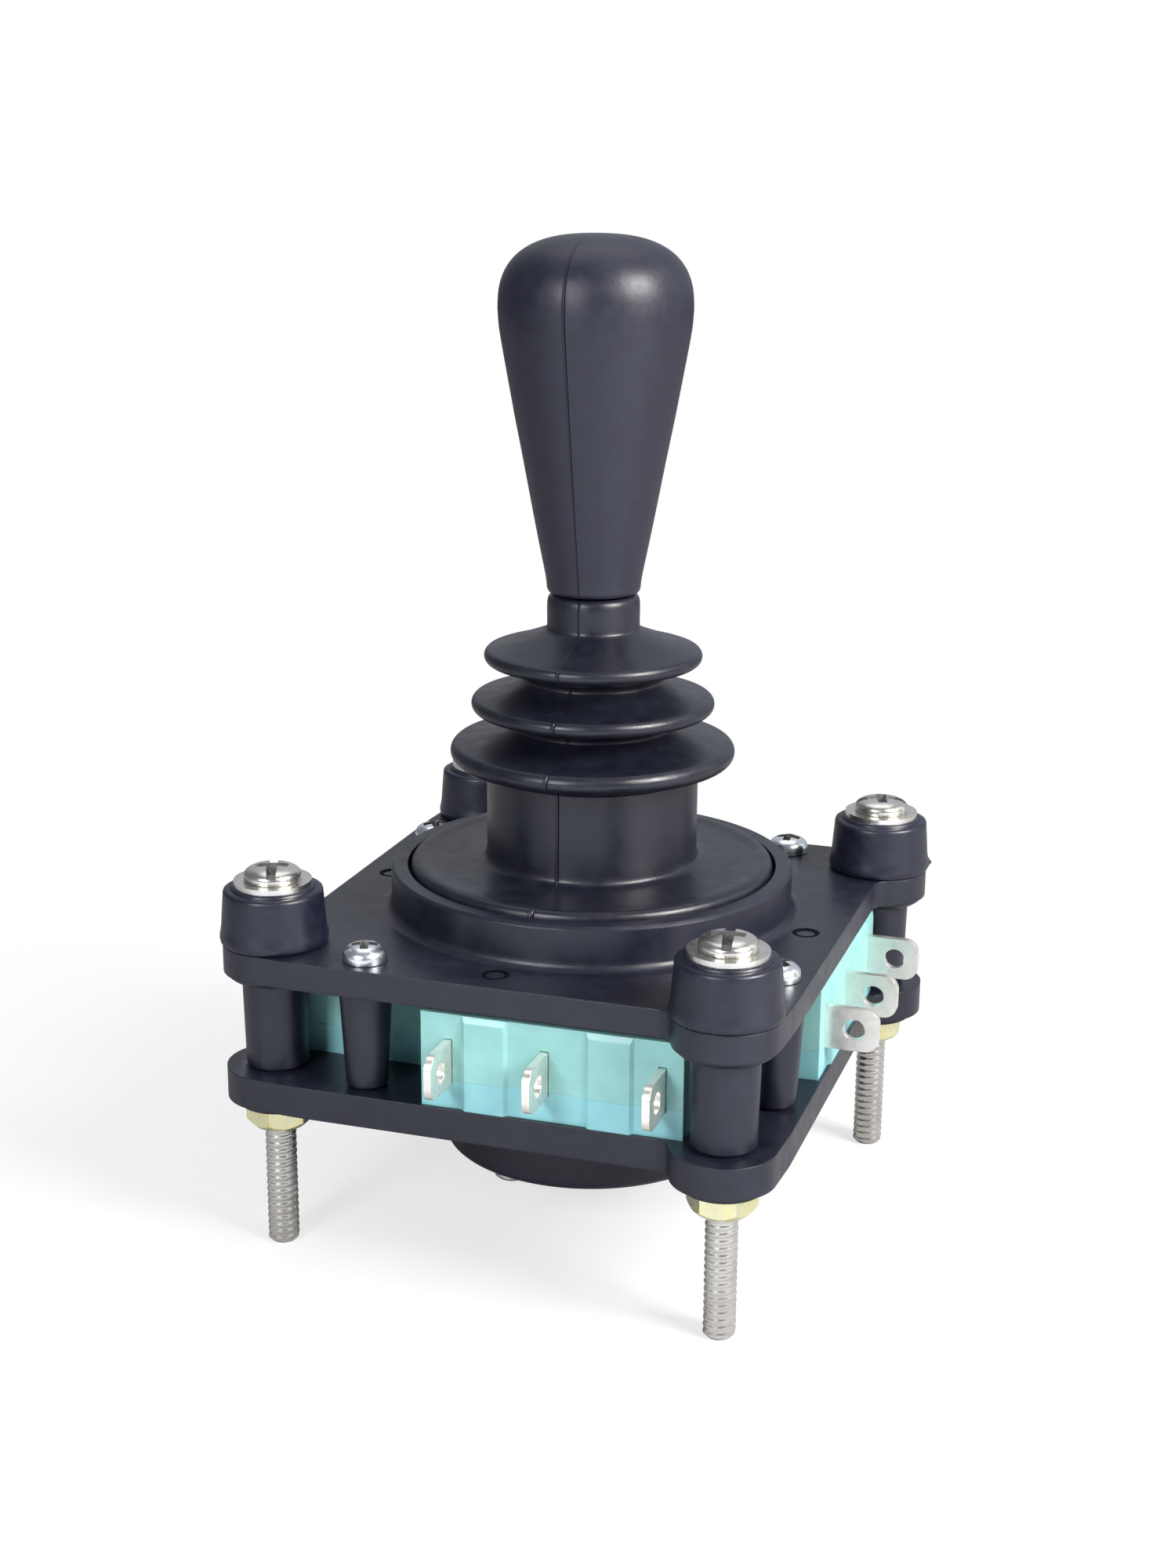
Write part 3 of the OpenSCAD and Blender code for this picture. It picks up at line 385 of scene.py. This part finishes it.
HANDLE_LOW, HANDLE_HIGH = box_mm("handle")
BOOT_LOW, BOOT_HIGH = box_mm("boot")
SCREW_LOW, SCREW_HIGH = box_mm("corner_screws")
SPACER_LOW, SPACER_HIGH = box_mm("rubber_spacers")
DECK_Z = SPACER_LOW[2]  # the top plate's face
HEAD_Z = box_mm("corner_washers")[1][2]  # where the corner screws' heads sit
SEAMS = (radians(-90), radians(90))
CORNER_TURN = 5.6  # degrees between the corner screws' square and the plates


def corner_places():
    """Axes of the four corner screws: front right, back right, back left, front left."""
    pattern = next(m for m in frame["record"]["mounts"] if m["name"] == "panel_studs")
    return quarter_turns(pattern["dims"]["pcd_mm"] / 2, radians(-45 - CORNER_TURN))


CORNERS = corner_places()
BACK_RIGHT = 1


# ---- Handle ----

def handle():
    """The bat-shaped grip: a taper that swells to its widest place, then a superellipse dome."""
    z0, top = HANDLE_LOW[2], HANDLE_HIGH[2]
    r = HANDLE_HIGH[0]
    drawn_r, drawn_from = 10.15, 80  # from this height on, the outline is scaled to the frame's radius
    widest = 99.17
    dome_h, dome_power, dome_rows = top - widest, 2.6, 40
    bore_r, bore_h = 3.1, 6
    side = [(4.5, z0), (4.84, z0 + 0.12), (5.0, z0 + 0.5), (5.15, 71.32), (5.82, 74.69), (6.47, 78.04),
            (7.09, 81.36), (7.71, 84.65), (8.35, 87.92), (8.94, 91.16), (9.52, 94.38), (9.8, 95.98),
            (10.04, 97.58)]
    side = [(q * r / drawn_r if z > drawn_from else q, z) for q, z in side]
    dome = [(r * max(0.0, cos(a)) ** (2 / dome_power), widest + dome_h * sin(a) ** (2 / dome_power))
            for a in (pi / 2 * (i / dome_rows) ** 1.25 for i in range(dome_rows + 1))]
    outline = smooth_line(side[:2], 2)[:-1] + smooth_line(side[1:] + [dome[0]], 4)[:-1] + dome
    bore = [(0.0, z0 + bore_h), (bore_r, z0 + bore_h), (bore_r, z0)]
    piece = lathe("handle_grip", bore + outline, "handle_rubber", seams=SEAMS, angle=45)
    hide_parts("handle")
    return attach(piece, "lever")


handle()


# ---- Boot ----

def boot():
    """Two lathed pieces: the flange with the cylinder's lower part, and the bellows with the neck."""
    base, top = BOOT_LOW[2], BOOT_HIGH[2]
    low, mid, high = 52.2, 57.45, 62.7  # middle heights of the three folds
    tube, bore, neck, neck_bore = 11.5, 10.2, 4.97, 3.1
    foot = base + 2.2
    ring_z = 50.0  # where the two pieces meet

    def rim(r, z, t):
        """Rounded rim of a fold, from its underside to its top."""
        return [(r - t + t * cos(radians(a)), z + t * sin(radians(a))) for a in range(-85, 80, 15)]

    # Outlines as (radius, height): the outsides run up and the insides back down
    lower_out = [(18.9, base), (19.6, base + 0.1), (19.95, base + 0.5), (19.9, base + 1.7),
                 (19.7, base + 2.25), (19.2, base + 2.55), (18.5, base + 2.55), (17.6, base + 2.4),
                 (16.0, base + 2.38), (13.2, foot + 0.25), (12.2, foot + 0.35), (11.7, foot + 0.6),
                 (11.53, foot + 1.1)]
    lower_out += [(tube, z) for z in (foot + 1.8, 44.0, 46.0, 48.0, ring_z)]
    lower_in = [(bore, z) for z in (ring_z, 48.0, 46.0, 44.0, 42.0, base)]
    upper_out = [(tube, ring_z), (tube + 0.25, low - 1.75), (tube + 1.0, low - 1.45), (13.4, low - 1.25)]
    upper_out += rim(15.45, low, 1.1)
    upper_out += [(13.2, low + 1.25), (11.0, low + 1.65), (9.3, low + 2.15), (8.55, low + 2.6),
                  (8.5, low + 2.9), (8.75, low + 3.3), (9.4, low + 3.55), (9.9, low + 3.7),
                  (10.2, low + 3.95), (10.9, low + 4.2)]
    upper_out += rim(13.15, mid, 0.85)
    upper_out += [(11.2, mid + 1.05), (9.6, mid + 1.5), (8.2, mid + 2.05), (7.6, mid + 2.6),
                  (7.55, mid + 2.9), (7.8, mid + 3.3), (8.4, mid + 3.6), (8.8, mid + 3.75),
                  (9.1, mid + 4.0), (9.7, mid + 4.3)]
    upper_out += rim(11.75, high, 0.8)
    upper_out += [(10.0, high + 1.05), (8.4, high + 1.6), (6.9, high + 2.15), (5.6, high + 2.65),
                  (5.2, high + 2.85), (neck, high + 3.15), (neck, high + 4.2), (neck + 0.02, top - 1.2),
                  (neck - 0.05, top - 0.55), (neck - 0.22, top - 0.2), (neck - 0.5, top)]
    upper_in = [(neck_bore, top), (neck_bore, high + 2.4), (5.4, high + 0.9), (9.6, high + 0.1),
                (6.5, high - 2.2), (6.5, high - 2.6), (11.0, mid + 0.1), (7.2, mid - 2.3),
                (7.2, mid - 2.7), (12.9, low + 0.2), (12.9, low - 0.1), (bore, ring_z)]

    def sleeve(name, outside, inside):
        return lathe(name, rounded(outside) + inside, "boot_rubber", seams=SEAMS, closed=True, angle=60)

    lower = sleeve("boot_base", lower_out, lower_in)
    upper = sleeve("boot_bellows", upper_out, upper_in)
    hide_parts("boot")
    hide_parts("boot")
    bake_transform(lower)
    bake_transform(upper)


boot()


# ---- Moulding marks and their painted shade ----

def ejector_marks_painted_shade():
    """Low rings at the ejector-pin marks on the top plate. Their near-black colour is painted shade standing
    in for the shade in the marks' grooves.
    """
    x, y = -2.2, -24.8
    sides = 48
    section = ((1.02, DECK_Z - 0.02), (1.1, DECK_Z + 0.02), (1.42, DECK_Z + 0.02), (1.5, DECK_Z - 0.02))
    verts, faces = [], []
    for at in quarter_turns(hypot(x, y), atan2(y, x)):
        first = len(verts)
        for r, z in section:
            verts += circle(at, r, z, sides)
        faces += grid_faces(len(section), sides, first, closed_rows=True)
    piece = build("ejector_marks_painted_shade", verts, faces, "spacer_rubber", 30)
    piece.data.materials.clear()
    # Near-black rings: painted shade where the marks' grooves are.
    piece.data.materials.append(MATERIALS["mark_painted_shade"])
    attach(piece, "root")


ejector_marks_painted_shade()


# ---- Spacers ----

def rubber_spacers():
    """Tapered spacers with a flared, slightly uneven lip. The back right one carries a moulding burr."""
    base, land = DECK_Z, SPACER_HIGH[2]
    top = land - 0.3
    hole_r, burr, burr_reach = 1.9, 0.5, 0.3
    lip_z, lip_reach, lip_r = base + 0.65, 0.7, 3
    side = [(5.2, base), (5.48, base + 0.08), (5.68, base + 0.28), (5.78, base + 0.6), (5.74, base + 0.95),
            (5.62, base + 1.4), (5.52, base + 2.0), (5.45, base + 3.0), (5.36, base + 4.2),
            (5.29, base + 5.0), (5.25, base + 5.55), (5.18, base + 5.78), (5.0, top - 0.06), (4.85, top),
            (4.45, top + 0.01), (4.38, land - 0.1), (4.28, land), (hole_r, land), (hole_r, base)]
    burr_at = atan2(RIGHT.y, RIGHT.x)
    sides = 120
    verts, faces = [], []
    for k, at in enumerate(CORNERS):
        first = len(verts)
        for q, z in side:
            lip = max(0.0, 1 - abs(z - lip_z) / lip_reach) if q > lip_r else 0.0
            for j in range(sides):
                a = 2 * pi * j / sides
                off = -lip * (0.05 + 0.03 * sin(3 * a + k) + 0.02 * sin(7 * a + 2 * k))
                if k == BACK_RIGHT:
                    near = (a - burr_at + pi) % (2 * pi) - pi
                    off += burr * lip ** 2 * max(0.0, 1 - abs(near) / burr_reach) ** 1.5
                verts.append((at[0] + (q + off) * cos(a), at[1] + (q + off) * sin(a), z))
        faces += grid_faces(len(side), sides, first, closed_rows=True)
    piece = build("rubber_spacers_flared", verts, faces, "spacer_rubber", 60)
    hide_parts("rubber_spacers")
    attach(piece, "root")


rubber_spacers()


# ---- Screws ----

def thread(name, at, z0, z1, r, pitch, slot, depth, top, sides=48, per_turn=10, chamfer=0.4):
    """A rod threaded from z0, where its end is chamfered, to z1, and plain from there to top."""
    rows = int((z1 - z0) / pitch * per_turn) + 1
    verts = []
    for i in range(rows):
        z = z0 + (z1 - z0) * i / (rows - 1)
        for j in range(sides):
            a = 2 * pi * j / sides
            u = (z / pitch - j / sides) % 1
            cut = depth * (0.5 - 0.5 * cos(2 * pi * u))
            q = min(r - cut, r - chamfer + (z - z0))
            if z > z1 - pitch:
                q = r - cut * (z1 - z) / pitch
            verts.append((at[0] + q * cos(a), at[1] + q * sin(a), z))
    verts += circle(at, r, top, sides)
    faces = grid_faces(rows + 1, sides)
    faces.append(tuple(range(sides))[::-1])
    faces.append(tuple(range(rows * sides, (rows + 1) * sides)))
    return build(name, verts, faces, slot, 60)


def cut_with(piece, cutters, at, profile):
    """Boolean difference, applied to the mesh. Faces below the profile's skin get the second material, a
    darker steel that paints shade into the recesses.
    """
    for cutter in cutters:
        change = piece.modifiers.new("cut", "BOOLEAN")
        change.operation, change.solver, change.object = "DIFFERENCE", "EXACT", cutter
    bpy.context.view_layer.update()
    ready = piece.evaluated_get(bpy.context.evaluated_depsgraph_get())
    mesh = bpy.data.meshes.new_from_object(ready)
    piece.modifiers.clear()
    piece.data = mesh
    mesh.shade_smooth()
    mesh.set_sharp_from_angle(angle=radians(30))
    for cutter in cutters:
        bpy.data.objects.remove(cutter)
    least_depth, inner_share, off_foot, over_foot = 0.12, 0.96, 0.02, 0.2
    foot_z, peak_z = profile[0][1], profile[-1][1]
    skin = sorted((r, z) for r, z in profile if r > 0 or z == peak_z)
    inner_r = skin[-1][0] * inner_share
    for face in mesh.polygons:
        x, y, z = (c / MM for c in face.center)
        r = hypot(x - at[0], y - at[1])
        above = [skin_z for skin_r, skin_z in skin if skin_r >= r and skin_z > foot_z + over_foot]
        sunk = bool(above) and z < above[0] - least_depth
        face.material_index = int(sunk and r < inner_r and z > foot_z + off_foot)
    return piece


# Recesses in a screw's head: half length and half width over the head's radius, first at the top and
# then at the floor, and the floor's height over the head's
CROSS_RECESS = ((0.68, 0.21), (0.3, 0.11), 0.22)
SLOT_RECESS = ((1.3, 0.19), (1.3, 0.15), 0.5)


def recess_cutter(recess, at, turn, r, z, h, slot):
    """A tapered bar for cutting a recess into a head of radius r and height h that sits on z."""
    wide, narrow, floor_share = recess
    c, s = cos(turn), sin(turn)
    verts = []
    for level, (half_l, half_w) in ((z + h * floor_share, narrow), (z + h + 0.3, wide)):
        a, b = r * half_l, r * half_w
        for x, y in ((-a, -b), (a, -b), (a, b), (-a, b)):
            verts.append((at[0] + c * x - s * y, at[1] + s * x + c * y, level))
    faces = [(0, 3, 2, 1), (4, 5, 6, 7), (0, 1, 5, 4), (1, 2, 6, 5), (2, 3, 7, 6), (3, 0, 4, 7)]
    return build("cutter", verts, faces, slot)


def pan_head(name, at, z, d, h, slot, turn, combo=True):
    """A pan head on z, with a cross recess and, on a combination head, a slot."""
    r = d / 2
    edge, wall, dome_rows = 0.12, 0.3, 12
    profile = [(0.0, z), (r - edge, z), (r, z + edge), (r, z + h * wall)]
    profile += [(r * cos(a) ** 0.8 if a < pi / 2 - 1e-6 else 0.0, z + h * (wall + (1 - wall) * sin(a) ** 0.9))
                for a in (pi / 2 * k / dome_rows for k in range(1, dome_rows + 1))]
    head = lathe(name, profile, slot, at, sides=64, angle=40)
    cutters = [recess_cutter(CROSS_RECESS, at, turn + k * pi / 2, r, z, h, slot) for k in (0, 1)]
    if combo:
        cutters.append(recess_cutter(SLOT_RECESS, at, turn, r, z, h, slot))
    return cut_with(head, cutters, at, profile)


def join(name, pieces, slot):
    """One object from several. Each face keeps its material's number."""
    bm = bmesh.new()
    for piece in pieces:
        bm.from_mesh(piece.data)
    mesh = bpy.data.meshes.new(name)
    bm.to_mesh(mesh)
    bm.free()
    for piece in pieces:
        bpy.data.objects.remove(piece)
    marks = [face.material_index for face in mesh.polygons]
    out = bpy.data.objects.new(name, mesh)
    bpy.context.scene.collection.objects.link(out)
    finish_with(out, slot)
    # The second material is darker steel: painted shade on the faces inside the recesses.
    mesh.materials.append(MATERIALS["painted_shade_steel"])
    mesh.polygons.foreach_set("material_index", marks)
    return out


def corner_screws():
    """Number 6-32 screws, each head turned as it was left."""
    r, pitch, depth, head_d, thread_l = 1.68, 0.794, 0.1, 6.0, 18.9
    low, head_h = SCREW_LOW[2], SCREW_HIGH[2] - HEAD_Z
    parts = []
    for k, (at, turn) in enumerate(zip(CORNERS, (-80, 15, 40, -68))):
        parts.append(thread(f"rod_{k}", at, low, low + thread_l, r, pitch, "stainless", depth, HEAD_Z))
        parts.append(pan_head(f"head_{k}", at, HEAD_Z, head_d, head_h, "stainless", radians(turn)))
    piece = join("corner_screws_threaded", parts, "stainless")
    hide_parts("corner_screws")
    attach(piece, "root")


corner_screws()


def plate_screws():
    """Small bright screws through the top plate, with a cross recess alone."""
    low, high = box_mm("plate_screws")
    head_d, head_h = 4.6, 1.9
    rod_r, pitch, depth, thread_l = 1.1, 0.9, 0.25, 12
    x, y = -16.4, -(high[0] - head_d / 2)
    head_z = high[2] - head_h
    parts = []
    for k, at in enumerate(quarter_turns(hypot(x, y), atan2(y, x))):
        parts.append(thread(f"rod_{k}", at, low[2], low[2] + thread_l, rod_r, pitch, "bright_zinc", depth,
                            head_z, sides=32, per_turn=8, chamfer=0.3))
        turn = radians(20 + 35 * k)
        parts.append(pan_head(f"head_{k}", at, head_z, head_d, head_h, "bright_zinc", turn, combo=False))
    piece = join("plate_screws_threaded", parts, "bright_zinc")
    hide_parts("plate_screws")
    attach(piece, "root")


plate_screws()


# ---- Return spring ----

def return_spring():
    """A conical coil in two pieces, split halfway up its rise."""
    low, high = box_mm("return_spring")
    wire = 0.55
    turns, base_r, top_r = 3.5, high[0] - wire, 3.9
    rise = high[2] - low[2] - 2 * wire
    flat_to, flat_from = 0.2, 0.85  # shares of the coil where its flat ends stop and start
    narrowing = 1.3
    steps, sides = 168, 14

    def climb(u):
        """Share of the rise, which leaves a flat coil at each end."""
        return 0.0 if u < flat_to else 1.0 if u > flat_from else (u - flat_to) / (flat_from - flat_to)

    def ring(u):
        """The wire's section at share u of the coil."""
        a, q = 2 * pi * turns * u, base_r + (top_r - base_r) * min(1.0, narrowing * climb(u))
        z = low[2] + wire + rise * climb(u)
        return [((q + wire * cos(b)) * cos(a), (q + wire * cos(b)) * sin(a), z + wire * sin(b))
                for b in (2 * pi * k / sides for k in range(sides))]

    middle = next(i for i in range(steps) if climb(i / steps) > 0.5)
    split = low[2] + wire + rise * climb(middle / steps)
    for name, first, last, pair, zs, ze in (
            ("spring_lower_turns", 0, middle, ("root", "gimbal"), low[2] + 2 * wire, split - wire),
            ("spring_upper_turns", middle, steps, ("gimbal", "lever"), split + wire, high[2] - 2 * wire)):
        verts = [p for i in range(first, last + 1) for p in ring(i / steps)]
        end = (last - first) * sides
        faces = grid_faces(last - first + 1, sides)
        faces += [tuple(range(sides))[::-1], tuple(range(end, end + sides))]
        piece = build(name, verts, faces, "spring_steel", 60)
        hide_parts("return_spring")
        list(pair)
        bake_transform(piece)


return_spring()


# ---- Stage and light ----

def floor_material():
    """Pale where seen, and white away from the object. To bounced light it is dimmer, more so behind, and
    brighter in front: a painted pool of fill light for the object's front faces.
    """
    n = Nodes("pale_floor")
    shade = n.noise(400, 2, 0.5)
    seen = n.add("ShaderNodeLightPath").outputs["Is Camera Ray"]
    pale = n.ramp(shade, [(0.3, (0.80, 0.80, 0.80)), (0.7, (0.83, 0.83, 0.83))])
    dim = n.ramp(shade, [(0.3, (0.40, 0.40, 0.40)), (0.7, (0.44, 0.44, 0.44))])
    # Bounced light sees a brighter patch in front of the object: painted fill light.
    ahead = n.add("ShaderNodeVectorMath", operation="DOT_PRODUCT")
    ahead.inputs[1].default_value = BACK
    n.link(n.place, ahead.inputs[0])
    front = n.grey(ahead.outputs["Value"], 0.0, 1.0, 0.02, 0.10, interpolation_type="SMOOTHSTEP")
    bounce_with_painted_fill = n.mix_colour(front, dim, (0.70, 0.72, 0.78, 1))
    n.link(n.mix_colour(seen, bounce_with_painted_fill, pale), n.shader.inputs["Base Color"])
    n.set(Roughness=0.9, Specular_IOR_Level=0.1)
    glow = n.add("ShaderNodeEmission")
    glow.inputs["Color"].default_value = (1, 1, 1, 1)
    glow.inputs["Strength"].default_value = 1
    away = n.add("ShaderNodeVectorMath", operation="LENGTH")
    n.link(n.place, away.inputs[0])
    fade = n.grey(away.outputs["Value"], 0.7, 1.0, 0.05, 0.13, interpolation_type="SMOOTHSTEP")
    share = n.add("ShaderNodeMath", operation="MULTIPLY")
    n.link(seen, share.inputs[0])
    n.link(fade, share.inputs[1])
    mix = n.add("ShaderNodeMixShader")
    n.link(share.outputs[0], mix.inputs[0])
    n.link(n.shader.outputs[0], mix.inputs[1])
    n.link(glow.outputs[0], mix.inputs[2])
    n.link(mix.outputs[0], n.output.inputs[0])
    return n.material


def floor():
    """A square sheet just under the screws' ends."""
    half, drop_mm = 6.0, 0.02
    mesh = bpy.data.meshes.new("floor")
    corners = [(-half, -half, 0), (half, -half, 0), (half, half, 0), (-half, half, 0)]
    mesh.from_pydata(corners, [], [(0, 1, 2, 3)])
    mesh.materials.append(floor_material())
    piece = bpy.data.objects.new("floor", mesh)
    bpy.context.scene.collection.objects.link(piece)
    piece.location.z = -drop_mm * MM


floor()


def world():
    """Soft light, brighter from above and behind, and white where the camera sees it."""
    scene = bpy.context.scene
    scene.world = bpy.data.worlds.new("studio")
    scene.world.use_nodes = True
    tree = scene.world.node_tree
    tree.nodes.clear()
    add, link = tree.nodes.new, tree.links.new
    out = add("ShaderNodeOutputWorld")
    soft, white = add("ShaderNodeBackground"), add("ShaderNodeBackground")
    soft.inputs["Color"].default_value = (0.87, 0.91, 1.0, 1)
    white.inputs["Color"].default_value = (1, 1, 1, 1)
    white.inputs["Strength"].default_value = 1
    facing = add("ShaderNodeVectorMath")
    facing.operation = "DOT_PRODUCT"
    brightest = Vector((0, 0, 0.68)) - 0.93 * BACK + 0.3 * RIGHT
    facing.inputs[1].default_value = brightest.normalized()
    link(add("ShaderNodeTexCoord").outputs["Generated"], facing.inputs[0])
    strength = add("ShaderNodeMapRange")
    strength.interpolation_type = "SMOOTHSTEP"
    set_range(strength, 0.45, 0.95, 0.2, 0.6)
    link(facing.outputs["Value"], strength.inputs["Value"])
    link(strength.outputs[0], soft.inputs["Strength"])
    mix = add("ShaderNodeMixShader")
    link(add("ShaderNodeLightPath").outputs["Is Camera Ray"], mix.inputs[0])
    link(soft.outputs[0], mix.inputs[1])
    link(white.outputs[0], mix.inputs[2])
    link(mix.outputs[0], out.inputs[0])
    scene.view_settings.view_transform = "Standard"


world()


AIM = Vector((0, 0, 0.05))  # the place that the lights point to


def softbox(name, side, up, front, size, power, colour=(1, 1, 1)):
    """An area light placed along the camera's right, up and towards the camera, in metres."""
    data = bpy.data.lights.new(name, "AREA")
    data.shape, data.size, data.size_y = "RECTANGLE", size[0], size[1]
    data.energy, data.color = power, colour
    lamp = bpy.data.objects.new(name, data)
    flat = Vector((BACK.x, BACK.y, 0)).normalized()
    place = RIGHT * side + Vector((0, 0, up)) + flat * front
    lamp.location = place
    lamp.rotation_euler = (AIM - place).to_track_quat("-Z", "Y").to_euler()
    bpy.context.scene.collection.objects.link(lamp)


softbox("key", 0.40, 0.36, 0.28, (0.24, 0.24), 6.6, (1.0, 0.98, 0.95))
softbox("fill", -0.26, 0.26, 0.40, (0.14, 0.16), 1.7, (0.97, 0.98, 1.0))
softbox("right_edge", 0.42, 0.16, -0.12, (0.10, 0.5), 0.2)
softbox("top", 0.0, 0.6, -0.15, (0.5, 0.4), 0.8)
